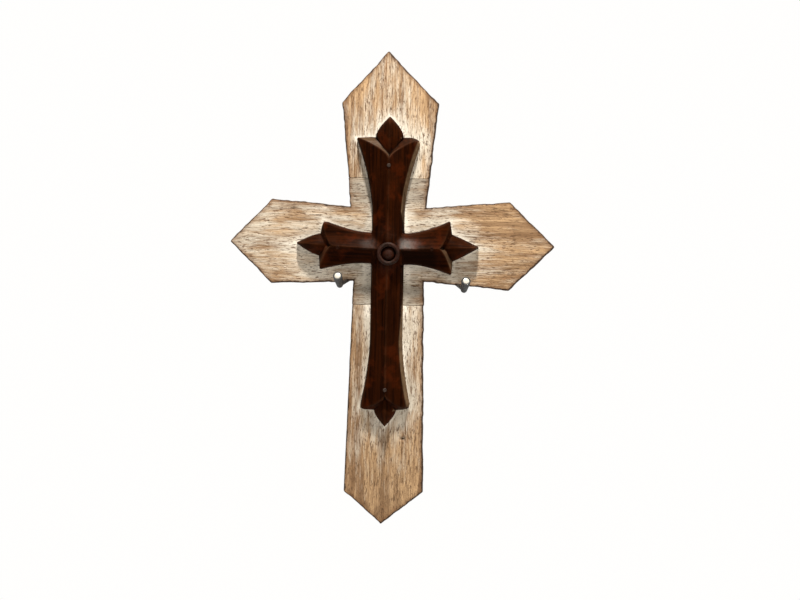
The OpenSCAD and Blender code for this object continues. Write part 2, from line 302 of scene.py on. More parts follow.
class Graph:
    """A material's nodes, with short calls for the usual ones."""

    def __init__(self, name, grain=None):
        self.grain = grain
        self.material = bpy.data.materials.new(name)
        self.material.use_nodes = True
        self.tree = self.material.node_tree
        self.surface = self.tree.nodes["Principled BSDF"]
        self.point = self.scaled(self.node("ShaderNodeTexCoord").outputs["Object"], (1 / MM,) * 3)

    def node(self, kind, inputs=(), **settings):
        made = self.tree.nodes.new(kind)
        for key, value in settings.items():
            setattr(made, key, value)
        for key, value in dict(inputs).items():
            self.feed(made.inputs[key], value)
        return made

    def feed(self, socket, value):
        if isinstance(value, bpy.types.NodeSocket):
            self.tree.links.new(value, socket)
        elif isinstance(value, tuple) and len(value) == 3 and socket.type == "RGBA":
            socket.default_value = (*value, 1)
        else:
            socket.default_value = value

    def scaled(self, vector, by):
        return self.node("ShaderNodeVectorMath", {0: vector, 1: by}, operation="MULTIPLY").outputs[0]

    def maths(self, operation, a, b=0.0, c=0.0):
        return self.node("ShaderNodeMath", {0: a, 1: b, 2: c}, operation=operation).outputs[0]

    def times(self, a, b):
        return self.maths("MULTIPLY", a, b)

    def plus(self, a, b):
        return self.maths("ADD", a, b)

    def step(self, value, low, high, out_low=0.0, out_high=1.0):
        return self.node("ShaderNodeMapRange", {
            "Value": value, "From Min": low, "From Max": high,
            "To Min": out_low, "To Max": out_high}, interpolation_type="SMOOTHSTEP").outputs[0]

    def along(self, length, width):
        """Wave sizes that run with the grain."""
        return tuple(length if k == self.grain else width for k in range(3))

    def waves(self, size, detail=3.0, rough=0.55, twist=0.0, seed=0.0, at=None):
        """Noise between 0 and 1 whose waves have the given size in millimetres."""
        stretched = self.scaled(at or self.point, tuple(1 / s for s in size))
        return self.node("ShaderNodeTexNoise", {
            "Vector": stretched, "W": seed, "Scale": 1.0, "Detail": detail,
            "Roughness": rough, "Distortion": twist}, noise_dimensions="4D").outputs["Fac"]

    def blend(self, factor, a, b, mode="MIX"):
        made = self.node("ShaderNodeMix", data_type="RGBA", blend_type=mode)
        for socket, value in ((made.inputs[0], factor), (made.inputs[6], a), (made.inputs[7], b)):
            self.feed(socket, value)
        return made.outputs[2]

    def stored(self, name):
        return self.node("ShaderNodeAttribute", attribute_name=name).outputs["Fac"]

    def bump(self, height, strength, distance, normal=None):
        made = self.node("ShaderNodeBump", {
            "Height": height, "Strength": strength, "Distance": distance * MM})
        if normal is not None:
            self.feed(made.inputs["Normal"], normal)
        return made.outputs[0]

    def finish(self, **sockets):
        for key, value in sockets.items():
            self.feed(self.surface.inputs[key.replace("_", " ")], value)
        return self.material


# ---- materials ----

def board_wood(name, grain, seed):
    """Rough mango wood under a worn whitewash, with charred dark edges, drawn wider on the edges that
    face right and down as painted shade. grain is the fibres' axis.
    """
    g = Graph(name, grain)

    drift = g.waves(g.along(90, 34), 2, 0.5, seed=seed)
    drift_vector = g.scaled(g.node("ShaderNodeCombineXYZ", {k: drift for k in range(3)}).outputs[0],
                            tuple(0.0 if k == grain else 7.0 for k in range(3)))
    p = g.node("ShaderNodeVectorMath", {0: g.point, 1: drift_vector}).outputs[0]

    bands = g.waves(g.along(110, 6.0), 3, 0.6, 0.3, seed + 1, p)
    fibres = g.waves(g.along(24, 0.9), 4, 0.65, 0.15, seed + 2, p)
    fine = g.waves(g.along(9, 0.3), 3, 0.6, 0.0, seed + 3, p)
    dashes = g.step(g.waves(g.along(5.2, 0.95), 2, 0.5, 0.1, seed + 4, p), 0.555, 0.64)
    specks = g.step(g.waves(g.along(2.2, 0.55), 2, 0.5, 0.0, seed + 5, p), 0.585, 0.67)
    blots = g.waves((13, 13, 13), 4, 0.62, 0.4, seed + 6)

    edge = g.stored("edge")
    wash_plan = g.stored("wash")
    soil_and_shade = g.stored("soil_and_shade")
    back = g.stored("back")
    darkening = g.stored("darkening")

    tan = g.blend(g.step(bands, 0.32, 0.68), (0.250, 0.142, 0.070), (0.610, 0.395, 0.212))
    tan = g.blend(g.step(fibres, 0.36, 0.62), g.blend(0.62, tan, (0.150, 0.078, 0.036)), tan)
    tan = g.blend(g.times(g.step(blots, 0.54, 0.74), 0.35), tan, (0.340, 0.160, 0.070))
    wash_colour = g.blend(g.step(fine, 0.3, 0.7), (0.560, 0.490, 0.385), (0.730, 0.670, 0.570))
    cover = g.plus(wash_plan, g.maths("MULTIPLY_ADD", g.waves(
        g.along(28, 5.5), 4, 0.6, 0.3, seed + 7, p), 1.3, -0.65))
    cover = g.plus(cover, g.maths("MULTIPLY_ADD", fibres, 1.1, -0.55))
    cover = g.times(g.step(cover, 0.16, 0.84), 0.92)
    wash_colour = g.blend(g.stored("bright"), wash_colour, (0.93, 0.855, 0.735))
    colour = g.blend(cover, tan, wash_colour)
    pores = g.maths("MAXIMUM", g.times(dashes, 0.90), g.times(specks, 0.72))
    pores = g.times(pores, g.step(blots, 0.30, 0.60, 0.45, 1.0))
    colour = g.blend(pores, colour, (0.120, 0.062, 0.030))
    # Darker where the darkening attribute says: the crossbar's stubs, the right arm's lower half, the
    # head's lower end and the foot's lower middle.
    colour = g.blend(g.times(darkening, g.step(blots, 0.3, 0.65, 0.6, 1.0)), colour,
                     (0.52, 0.50, 0.48), "MULTIPLY")
    # The charred edge bands follow the edge attribute, which is lowered on edges facing right and down:
    # their extra width there is painted shade.
    ragged = g.plus(edge, g.maths("MULTIPLY_ADD", g.waves(
        (4.5, 4.5, 4.5), 4, 0.65, 0.3, seed + 8), -3.4, 1.7))
    burnt_and_shaded = g.step(ragged, 0.55, 1.45, 1.0, 0.0)
    scorched_and_shaded = g.times(g.step(ragged, 0.8, 4.6, 1.0, 0.0), 0.5)
    colour = g.blend(scorched_and_shaded, colour, (0.150, 0.070, 0.030))
    raw = g.blend(g.step(bands, 0.3, 0.7), (0.200, 0.105, 0.050), (0.330, 0.190, 0.098))
    raw = g.blend(g.step(fibres, 0.35, 0.65), (0.105, 0.052, 0.024), raw)
    colour = g.blend(back, colour, raw)
    colour = g.blend(g.times(burnt_and_shaded, 0.95), colour, g.blend(
        fine, (0.016, 0.009, 0.006), (0.060, 0.030, 0.015)))
    # Dark dent bottoms: soil, and painted shade in the deeper dents.
    colour = g.blend(soil_and_shade, colour, (0.035, 0.017, 0.009))

    height = g.maths("MULTIPLY_ADD", fibres, 0.8, g.times(fine, 0.35))
    height = g.maths("MULTIPLY_ADD", cover, 0.35, height)
    height = g.maths("SUBTRACT", height, g.times(pores, 0.9))
    rough = g.maths("MULTIPLY_ADD", fibres, -0.16, 0.86)
    return g.finish(Base_Color=colour, Roughness=rough, Specular_IOR_Level=0.2,
                    Normal=g.bump(height, 0.8, 0.25))


def carved_wood(name, grain, seed):
    """Dark stained and varnished carved wood, rubbed redder on its crests and glossier where the gloss
    attribute says.
    """
    g = Graph(name, grain)

    streaks = g.waves(g.along(60, 2.2), 4, 0.6, 0.25, seed)
    fibres = g.waves(g.along(18, 0.5), 3, 0.6, 0.1, seed + 1)
    blots = g.waves((16, 16, 16), 4, 0.6, 0.3, seed + 2)
    # hollow: near-black as dark stain in the carved hollows, plus painted shade on the right arm's lower
    # facet, and the boss darkened towards its base.
    hollow = g.stored("hollow")
    crest = g.stored("crest")
    wall = g.stored("wall")
    colour = g.blend(g.step(streaks, 0.32, 0.70), (0.0055, 0.0014, 0.0005), (0.0235, 0.0052, 0.0010))
    colour = g.blend(g.times(g.step(blots, 0.50, 0.66), 0.60), colour,
                     (0.048, 0.0080, 0.0014))
    colour = g.blend(g.step(fibres, 0.58, 0.75, 0.0, 0.5), colour, (0.004, 0.0012, 0.0006))
    rubbed = g.times(crest, g.step(blots, 0.3, 0.7, 0.15, 0.75))
    colour = g.blend(rubbed, colour, (0.052, 0.020, 0.009))
    # wall: a pale dust colour, painted light on the right-facing side walls and the up-facing notch
    # walls.
    dust_and_light = g.times(wall, g.step(g.waves((7, 7, 7), 4, 0.6, 0.2, seed + 3),
                                             0.3, 0.7, 0.45, 0.95))
    colour = g.blend(dust_and_light, colour, (0.170, 0.108, 0.060))
    colour = g.blend(g.times(hollow, 0.75), colour, (0.0035, 0.0016, 0.0010))
    speckle = g.waves((1.3, 1.3, 1.3), 3, 0.65, 0.2, seed + 4)
    height = g.plus(g.maths("MULTIPLY_ADD", fibres, 0.5, streaks),
                     g.times(speckle, 0.5))
    rough = g.plus(g.step(speckle, 0.3, 0.7, 0.40, 0.58), g.times(hollow, 0.2))
    cloud = g.step(g.waves((9, 9, 9), 4, 0.6, 0.4, seed + 5), 0.38, 0.66)
    grit = g.step(speckle, 0.25, 0.80, 0.38, 1.0)
    polish = g.maths("MULTIPLY_ADD", g.stored("gloss"), grit, g.times(cloud, 0.10))
    sheen = g.step(polish, 0.0, 1.0, 0.03, 0.42)
    tint = g.blend(g.step(polish, 0.0, 0.6), (0.26, 0.11, 0.06), (1.0, 0.93, 0.86))
    return g.finish(Base_Color=colour, Roughness=rough, Specular_IOR_Level=sheen,
                    Specular_Tint=tint, Normal=g.bump(height, 0.45, 0.2))


def painted_steel():
    """Fine black powder coat on the wall bar."""
    g = Graph("bar_paint")
    grain = g.waves((0.55, 0.55, 0.55), 3, 0.6, 0, 1.0)
    cloud = g.waves((22, 22, 22), 3, 0.6, 0.2, 2.0)
    scuffs = g.step(g.waves((14, 3, 0.8), 4, 0.65, 0.6, 3.0), 0.66, 0.72)
    colour = g.blend(g.step(cloud, 0.3, 0.7), (0.016, 0.016, 0.018), (0.030, 0.030, 0.032))
    colour = g.blend(g.times(scuffs, 0.35), colour, (0.11, 0.11, 0.11))
    return g.finish(Base_Color=colour, Roughness=g.step(cloud, 0.3, 0.7, 0.42, 0.6),
                    Normal=g.bump(grain, 0.45, 0.12))


def black_wire():
    """Black oxide steel wire, with the drawing marks along it and worn lighter streaks."""
    g = Graph("wire_steel")
    lines = g.waves((0.35, 14, 0.35), 3, 0.6, 0, 1.0)
    wear = g.step(g.waves((3, 6, 3), 4, 0.65, 0.3, 2.0), 0.56, 0.7)
    colour = g.blend(g.times(wear, 0.6), (0.030, 0.028, 0.027), (0.12, 0.11, 0.10))
    return g.finish(Base_Color=colour, Metallic=0.85, Roughness=g.step(wear, 0, 1, 0.46, 0.32),
                    Normal=g.bump(lines, 0.3, 0.08))


def black_sleeve():
    """Moulded black vinyl over the hooks' ends."""
    g = Graph("sleeve_rubber")
    grain = g.waves((0.4, 0.4, 0.4), 3, 0.6, 0, 5.0)
    cloud = g.waves((4, 4, 4), 3, 0.6, 0.2, 6.0)
    colour = g.blend(g.step(cloud, 0.3, 0.7), (0.011, 0.011, 0.012), (0.026, 0.026, 0.027))
    return g.finish(Base_Color=colour, Roughness=g.step(cloud, 0.3, 0.7, 0.38, 0.55),
                    Normal=g.bump(grain, 0.3, 0.06))


def pale_tip():
    """Bright domed rivet, slightly yellowed and rubbed."""
    g = Graph("tip_cap")
    cloud = g.waves((1.6, 1.6, 1.6), 4, 0.6, 0.3, 7.0)
    fine = g.waves((0.3, 0.3, 0.3), 2, 0.5, 0, 8.0)
    colour = g.blend(g.step(cloud, 0.35, 0.7), (0.52, 0.50, 0.45), (0.40, 0.36, 0.29))
    return g.finish(Base_Color=colour, Metallic=0.0, Roughness=g.step(cloud, 0.3, 0.7, 0.28, 0.42),
                    Normal=g.bump(fine, 0.15, 0.05))


def brad_metal():
    """Browned steel of the brads, stained over where they aren't bare."""
    g = Graph("brad_steel")
    cloud = g.waves((1.1, 1.1, 1.1), 4, 0.65, 0.3, 9.0)
    bare = g.stored("bare")
    worn = g.blend(g.step(cloud, 0.42, 0.62), (0.018, 0.009, 0.006), (0.085, 0.058, 0.044))
    colour = g.blend(bare, (0.0130, 0.0034, 0.0010), worn)
    return g.finish(Base_Color=colour, Metallic=g.times(bare, 0.6),
                    Roughness=g.step(cloud, 0.4, 0.6, 0.6, 0.42),
                    Specular_IOR_Level=g.step(bare, 0.0, 1.0, 0.06, 0.5),
                    Normal=g.bump(cloud, 0.4, 0.1))


def dowel_wood():
    """Plain turned beech of the dowels."""
    g = Graph("dowel_wood")
    bands = g.waves((2.0, 2.0, 40), 3, 0.6, 0.2, 11.0)
    fibres = g.waves((0.4, 0.4, 9), 3, 0.6, 0.0, 12.0)
    colour = g.blend(bands, (0.42, 0.26, 0.13), (0.60, 0.42, 0.24))
    colour = g.blend(g.step(fibres, 0.58, 0.72, 0.0, 0.5), colour, (0.25, 0.13, 0.06))
    return g.finish(Base_Color=colour, Roughness=g.step(fibres, 0.3, 0.7, 0.6, 0.78),
                    Normal=g.bump(fibres, 0.4, 0.12))


# ---- boards ----

WORN = 1.1              # radius of the boards' worn edges
SEAM_EDGE = 0.45        # radius of the edges at the butt joints
CORNER = 1.6            # radius of the boards' corners in plan
EDGE_WOB = 1.7          # how far the hand-sawn edges wander
EDGE_OUT = 0.45         # how much of that lies outside the CAD's straight edges
TIP_OUT = 0.75          # how far the drawn tips reach past the CAD's, before they are rounded
BOARD_STEP = 0.85       # size of the boards' quads

TIP_Z = 2.0             # height of the side tips
HOOKS = ("left", "right")
HOOK_X = [middle("hook_rod_" + side)[0] for side in HOOKS]
NECK, HEAD_SHOULDER = 33.0, 123.0
FOOT_SHOULDER_Z = -211.0
STRAY = -2.0            # sideways place of the head's and foot's tips
WAIST_L, WAIST_R = -29.5, 32.0
SHOULDER_L, SHOULDER_R = -100.0, 104.5
HEAD_HALF = head_high[0]
FOOT_HALF = foot_high[0]
PAST = 25.0             # how far an outline is drawn past a butt joint, where it is cut


def line_at(a, b, z):
    """Point at height z on the line through a and b."""
    return (a[0] + (b[0] - a[0]) * (z - a[1]) / (b[1] - a[1]), z)


NECK_R, HEAD_R = (NECK, 34.0), (HEAD_HALF, HEAD_SHOULDER)
WAIST_LEFT, FOOT_LEFT = (WAIST_L, -30.5), (-FOOT_HALF, FOOT_SHOULDER_Z)
WAIST_RIGHT, FOOT_RIGHT = (WAIST_R, -30.5), (FOOT_HALF, FOOT_SHOULDER_Z)


def mirrored(p):
    return (-p[0], p[1])


crossbar_outline = [
    (bar_low[0] - TIP_OUT, TIP_Z), (SHOULDER_L, 40), mirrored(NECK_R),
    mirrored(line_at(NECK_R, HEAD_R, SEAM_UP + PAST)), line_at(NECK_R, HEAD_R, SEAM_UP + PAST),
    NECK_R, (SHOULDER_R, 40), (bar_high[0] + TIP_OUT, TIP_Z), (SHOULDER_R, -36.5), WAIST_RIGHT,
    line_at(WAIST_RIGHT, FOOT_RIGHT, SEAM_DOWN - PAST),
    line_at(WAIST_LEFT, FOOT_LEFT, SEAM_DOWN - PAST), WAIST_LEFT, (SHOULDER_L, -34)]
head_outline = [
    mirrored(line_at(NECK_R, HEAD_R, SEAM_UP - PAST)), mirrored(HEAD_R), (STRAY, head_high[2] + TIP_OUT),
    HEAD_R, line_at(NECK_R, HEAD_R, SEAM_UP - PAST)]
foot_outline = [
    line_at(WAIST_LEFT, FOOT_LEFT, SEAM_DOWN + PAST),
    line_at(WAIST_RIGHT, FOOT_RIGHT, SEAM_DOWN + PAST), FOOT_RIGHT, (STRAY, foot_low[2] - TIP_OUT),
    FOOT_LEFT]

# Dents in the boards' front, each one [x, z, radius along the grain, radius across it, depth]
DENTS = {
    "crossbar": [[-53.5, 34.0, 2.6, 1.7, 1.3], [-81.5, 31.0, 3.4, 1.5, 0.5],
                 [-103, 20.0, 1.6, 1.0, 0.5], [-22.3, -17.2, 1.3, 1.0, 0.7],
                 [-13.4, 40.4, 1.6, 1.3, 0.8], [72.0, 4.5, 4.0, 1.2, 0.35],
                 [31.0, 55.0, 2.2, 1.4, 0.6], [-70.5, 14.2, 1.5, 1.0, 0.4],
                 [96.0, -22.0, 5.0, 1.2, 0.4], [-118, -6.0, 4.0, 1.0, 0.35]],
    "upright_top": [[31.6, 87.5, 1.8, 1.2, 0.6], [-29.0, 104, 4.0, 1.1, 0.4],
                    [17.0, 136, 5.0, 1.0, 0.4], [-16.0, 128, 3.0, 0.9, 0.35]],
    "upright_bottom": [[15.6, -165.0, 1.9, 2.6, 1.4], [-14.5, -196, 6.0, 1.2, 0.45],
                       [25.0, -104, 3.0, 1.1, 0.4], [-21.0, -86, 5.0, 1.0, 0.4],
                       [14.0, -214, 5.0, 1.0, 0.4]],
}


def dent_depth(x, z, dents, grain):
    """Depth of a board's dents at each point, and how dark their bottoms are painted: soil, and painted
    shade in the deeper dents.
    """
    depth, soiled_and_shaded = 0.0, 0.0
    for cx, cz, long, wide, deep in dents:
        rx, rz = (long, wide) if grain == 0 else (wide, long)
        near = np.exp(-(((x - cx) / rx) ** 2 + ((z - cz) / rz) ** 2) * 1.6)
        depth = depth + deep * near
        soiled_and_shaded = soiled_and_shaded + min(deep, 1.0) * near ** 2
    return depth, np.minimum(soiled_and_shaded, 1)


def board(name, outline, seams, grain, seed):
    """One board: its hand-sawn outline, cut square at the butt joints."""
    low, high = span(name)
    drawn = inset(outline, CORNER)

    def edge(x, z):
        wander = (0.42 * noise((x, z), 34.0, seed) + 0.40 * noise((x, z), 9.5, seed + 1)
                  + 0.34 * noise((x, z), 3.6, seed + 2))
        sawn = EDGE_WOB * np.clip(0.5 + 0.5 * wander, 0, 1) - EDGE_OUT
        for hook in HOOK_X:
            rest = np.exp(-((x - hook) / 6.0) ** 2) * (z < -20)
            sawn = sawn * (1 - rest) + 0.25 * rest
        return outline_field(x, z, drawn) - CORNER + sawn

    def front(x, z):
        """How far the sawn and weathered front lies behind the CAD's flat one."""
        size = (60.0, 9.0) if grain == 0 else (9.0, 60.0)
        fine = (16.0, 2.4) if grain == 0 else (2.4, 16.0)
        rolling = 0.5 + 0.5 * noise((x, z), size, seed + 3)
        furrow = 0.5 + 0.5 * noise((x, z), fine, seed + 4)
        return 0.16 * rolling + 0.14 * furrow + dent_depth(x, z, DENTS[name], grain)[0]

    def field(x, y, z):
        plan = edge(x, z)
        chips = 0.6 + 0.5 * noise((x, y, z), (9.0, 7.0, 9.0), seed + 5)
        slab = np.maximum(FRONT + front(x, z) - y, y - BACK)
        body = smooth_max(plan, slab, WORN * 2 * np.clip(chips, 0.35, 1.3))
        for z0, way in seams:
            body = smooth_max(body, (z - z0) * way, SEAM_EDGE)
        return body

    obj = build(name + "_wood", *skin(field, low, high, BOARD_STEP))
    return obj, edge


def cylinder(radius, start, end, segments=32):
    """A straight closed pin between two points, used as a cutter."""
    start, end = Vector(start), Vector(end)
    return lathe("pin", [(radius, 0), (radius, (end - start).length)], start, end - start, segments)


def dowel_bores(z):
    """Cutters for the dowels that cross the butt joint at height z."""
    made = []
    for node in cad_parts:
        if not node.startswith("dowel_"):
            continue
        a, b = span(node)
        x, y, at = middle(node)
        if abs(at - z) < 1:
            made.append(cylinder((b[0] - a[0]) / 2 + GAP, (x, y, a[2] - GAP), (x, y, b[2] + GAP)))
    return made


BRAD_SHANK, BRAD_HEAD = 0.8, 1.1        # radius of a brad's shank, and the height of its head


def brad_measures(node):
    """The middle of a brad's head, the head's radius and the brad's length."""
    a, b = span(node)
    x, _, z = middle(node)
    return (x, a[1], z), (b[0] - a[0]) / 2, b[1] - a[1]


def brad_bore(node):
    """The hole of one brad, with a seat for its head."""
    centre, head, length = brad_measures(node)
    floor = BRAD_HEAD + GAP
    return lathe("bore", [(head + GAP, -1), (head + GAP, floor), (BRAD_SHANK + GAP, floor),
                          (BRAD_SHANK + GAP, length + GAP)], centre, (0, 1, 0), 32)


def crack(points, width, depth):
    """A thin jagged wedge along points on the boards' front, from its surface inwards."""
    n = len(points)
    verts, faces = [], []
    for i, (x, z) in enumerate(points):
        dx, dz = np.subtract(points[min(i + 1, n - 1)], points[max(i - 1, 0)])
        length = math.hypot(dx, dz)
        half = max(width * math.sin(math.pi * (i + 0.35) / (n - 0.3)) / 2, 0.04)
        nx, nz = -dz / length * half, dx / length * half
        verts += [(x + nx, FRONT - 1, z + nz), (x - nx, FRONT - 1, z - nz),
                  (x, FRONT + depth * (0.4 + 0.6 * math.sin(math.pi * (i + 0.5) / n)), z)]
    for i in range(n - 1):
        a, b = 3 * i, 3 * i + 3
        for k in range(3):
            m = (k + 1) % 3
            faces.append((a + k, b + k, b + m, a + m))
    faces += [(0, 1, 2), (3 * n - 1, 3 * n - 2, 3 * n - 3)]
    return build("crack", verts, faces)


# ---- carved cross ----

SIDE = 6.5              # height of the arms' side edges
LEAF = 9.8              # height of the leaves' ridges
LEAF_EDGE = 3.2         # height of the leaves' edges
LEAF_ROUND = 1.1        # radius of the leaves' tips in plan
NOTCH_SLOPE = 1.15      # fall of the notch walls, for each millimetre
PETAL_ROUND = 1.3       # radius of the petals' tips in plan
STEEP = 0.14            # lean of the dark side walls
CARVED_STEP = 0.56      # size of the carved cross's quads
SINK = 0.35             # how far the carved cross reaches into the worn board under it

# Notch walls painted paler, as dust and as painted light on walls that face up to the key lamp: arm,
# side of its axis, strength
NOTCH_DUST_AND_LIGHT = (("up", 1, 0.34), ("right", -1, 0.42), ("up", -1, 0.03), ("left", 1, 0.12))

DROP = 2.5              # how far the crossarm sits below the crossing's centre
HALF = 13.5             # half-height of the crossarm at its waist
TILT_RIGHT, TILT_LEFT = 2, 3    # how far the side arms tip upward, in degrees

# Each arm: its turn in degrees, the place of its axis aside of the crossing's centre, petal
# reach, petal half-width, waist half-width, start of the flare, notch apex, leaf reach, leaf
# half-width, leaf fullness, how high the leaf's nose stays, the lean of its right-hand walls,
# and how blunt the petals are on its left and right sides, seen from the crossing
Arm = namedtuple("Arm", "turn aside petal petal_w waist flare apex tip leaf_w power nose lean "
                        "blunt")
ARMS = {
    "right": Arm(TILT_RIGHT, -DROP, 54.0, 23.5, HALF, 18, 42.5, crossarm_high[0], 11.5, 1.1,
                 0.92, None, (0.0, 0.0)),
    "up": Arm(90, 0.0, 92.5, 28.5, 14.0, 30, 73.0, carved_high[2], 12.0, 1.6,
              0.80, 0.32, (0.0, 3.4)),
    "left": Arm(180 - TILT_LEFT, DROP, 57.0, 21.5, HALF, 20, 46.0, -crossarm_low[0], 9.5, 1.35,
                0.50, None, (0.0, 1.1)),
    "down": Arm(270, 0.0, 139.0, 22.0, 14.0, 80, 124.0, -carved_low[2], 9.5, 1.5,
                0.75, 0.46, (1.0, 0.7)),
}
FLARE_POWER = 1.6
RIM_POWER = 0.58        # how early a notch's rim swings towards its apex
LIP = 1.5


def arm_place(arm, x, z):
    """How far along an arm's axis and how far aside of it points lie."""
    c, n = math.cos(math.radians(arm.turn)), math.sin(math.radians(arm.turn))
    return x * c + z * n, z * c - x * n - arm.aside


def arm_point(arm, s, t):
    """The point s along an arm's axis and t aside of it."""
    c, n = math.cos(math.radians(arm.turn)), math.sin(math.radians(arm.turn))
    return s * c - (t + arm.aside) * n, s * n + (t + arm.aside) * c


def arm_sides(arm):
    """One side of an arm's outline, from the crossing to the petal, as (along, aside)."""
    side = [(0, arm.waist)]
    for i in range(13):
        t = i / 12
        side.append((arm.flare + (arm.petal - arm.flare) * t,
                     arm.waist + (arm.petal_w - arm.waist) * t ** FLARE_POWER))
    return side


def arm_leaf(arm):
    """The leaf's side, from its root to its tip."""
    root = arm.petal + LIP
    return [(root + (arm.tip - root) * i / 12, arm.leaf_w * (1 - (i / 12) ** arm.power))
            for i in range(13)]


def both_sides(side):
    """Closes an outline by mirroring one side of it."""
    return side + [(s, -t) for s, t in reversed(side) if t > 1e-6]


arm_plans = {}
for key, arm in ARMS.items():
    sides = [(-14, arm.waist)] + arm_sides(arm)[1:]
    sides += [(arm.petal + LIP, arm.leaf_w * 0.9), (arm.petal + LIP, 0)]
    rim = [(arm.apex + (arm.petal - arm.apex) * (k / 14) ** (2 * RIM_POWER),
            arm.petal_w * (k / 14) ** 2) for k in range(15)]
    rim += [(arm.petal + 0.6, arm.petal_w + 4), (arm.petal + 40, arm.petal_w + 4)]
    leaf_side = [(arm.apex, 1.6), (arm.petal, arm.leaf_w)] + arm_leaf(arm)
    arm_plans[key] = (inset(both_sides(sides), PETAL_ROUND), both_sides(rim),
                      inset(both_sides(leaf_side), LEAF_ROUND))


def arm_parts(key, x, z, height, marks):
    """One arm's petals, under a hollowed and notched roof, its leaf, and its notch's plan."""
    arm = ARMS[key]
    petals_plan, notch_plan, leaf_plan = arm_plans[key]
    s, t = arm_place(arm, x, z)
    side = np.abs(t)
    flared = np.clip((s - arm.flare) / (arm.petal - arm.flare), 0, 1.1) ** FLARE_POWER
    lean = STEEP
    if arm.lean:
        lean = STEEP + (arm.lean - STEEP + 0.12 * flared) * smooth_step(-3, 8, x)
    top_half = arm.waist + (arm.petal_w - arm.waist) * flared - SIDE * lean
    across = np.clip(side / top_half, 0, 1.4)
    hollow = (0.35 + 1.1 * flared) * np.sin(np.clip(across, 0, 1) * math.pi)
    roof = SIDE + (RIDGE + 0.1 - SIDE) * (1 - across) - hollow + marks
    notch = outline_field(s, t, notch_plan)
    fall = NOTCH_SLOPE * (1 + 1.5 * (1 - smooth_step(arm.apex + 2, arm.petal - 4, s)))
    roof = smooth_min(roof, roof + fall * notch + 0.2, 0.7)
    wall = outline_field(s, t, petals_plan) - PETAL_ROUND
    for way, blunt in zip((1, -1), arm.blunt):
        if blunt:
            corner = (s - arm.petal) * 0.60 + (t * way - arm.petal_w) * 0.80 + blunt
            wall = smooth_max(wall, corner, 4.0)
    petals = smooth_max((height - roof) * 0.75, wall + lean * height, 1.3)

    run = np.clip((s - arm.petal) / (arm.tip - arm.petal), 0, 1)
    leaf_half = arm.leaf_w * (1 - run ** arm.power)
    rise = 0.76 + 0.24 * smooth_step(arm.apex, arm.petal + 3, s) - (1 - arm.nose) * run ** 2.2
    over = np.clip(side / np.maximum(leaf_half, 2.0), 0, 1)
    top = LEAF_EDGE + (LEAF * rise - LEAF_EDGE) * (1 - over ** 1.25) + marks
    leaf_wall = outline_field(s, t, leaf_plan) - LEAF_ROUND + 0.22 * height
    return petals, smooth_max((height - top) * 0.8, leaf_wall, 1.2), notch


def carved_field(x, y, z):
    height = FRONT - y
    marks = (0.17 * noise((x, z), 8.0, 71) + 0.07 * noise((x, z), 3.2, 72)
             + 0.24 * noise((x, z), 26.0, 73)) - 0.15
    total = None
    for key in ARMS:
        petals, leaf, _ = arm_parts(key, x, z, height, marks)
        arm = smooth_min(petals, leaf, 0.35)
        total = arm if total is None else smooth_min(total, arm, 0.8)
    return smooth_max(total, -SINK - height, 0.3)


def bulge(field, x, y, z, reach):
    """How far the surface bends at each point: above zero on crests, below it in hollows."""
    total = 0.0
    for axis in np.eye(3) * reach:
        for way in (1, -1):
            total = total + field(x + way * axis[0], y + way * axis[1], z + way * axis[2])
    return total / 6 - field(x, y, z)


carved_outline_points = []
for key in ("right", "up", "left", "down"):
    side = arm_sides(ARMS[key])[1:] + arm_leaf(ARMS[key])
    for s, t in [(s, -t) for s, t in side] + list(reversed(side[:-1])):
        carved_outline_points.append(arm_point(ARMS[key], s, t))


def carved_plan(x, z):
    """Distance to the carved cross's outline, negative inside it."""
    return outline_field(x, z, carved_outline_points)


# ---- making the boards ----

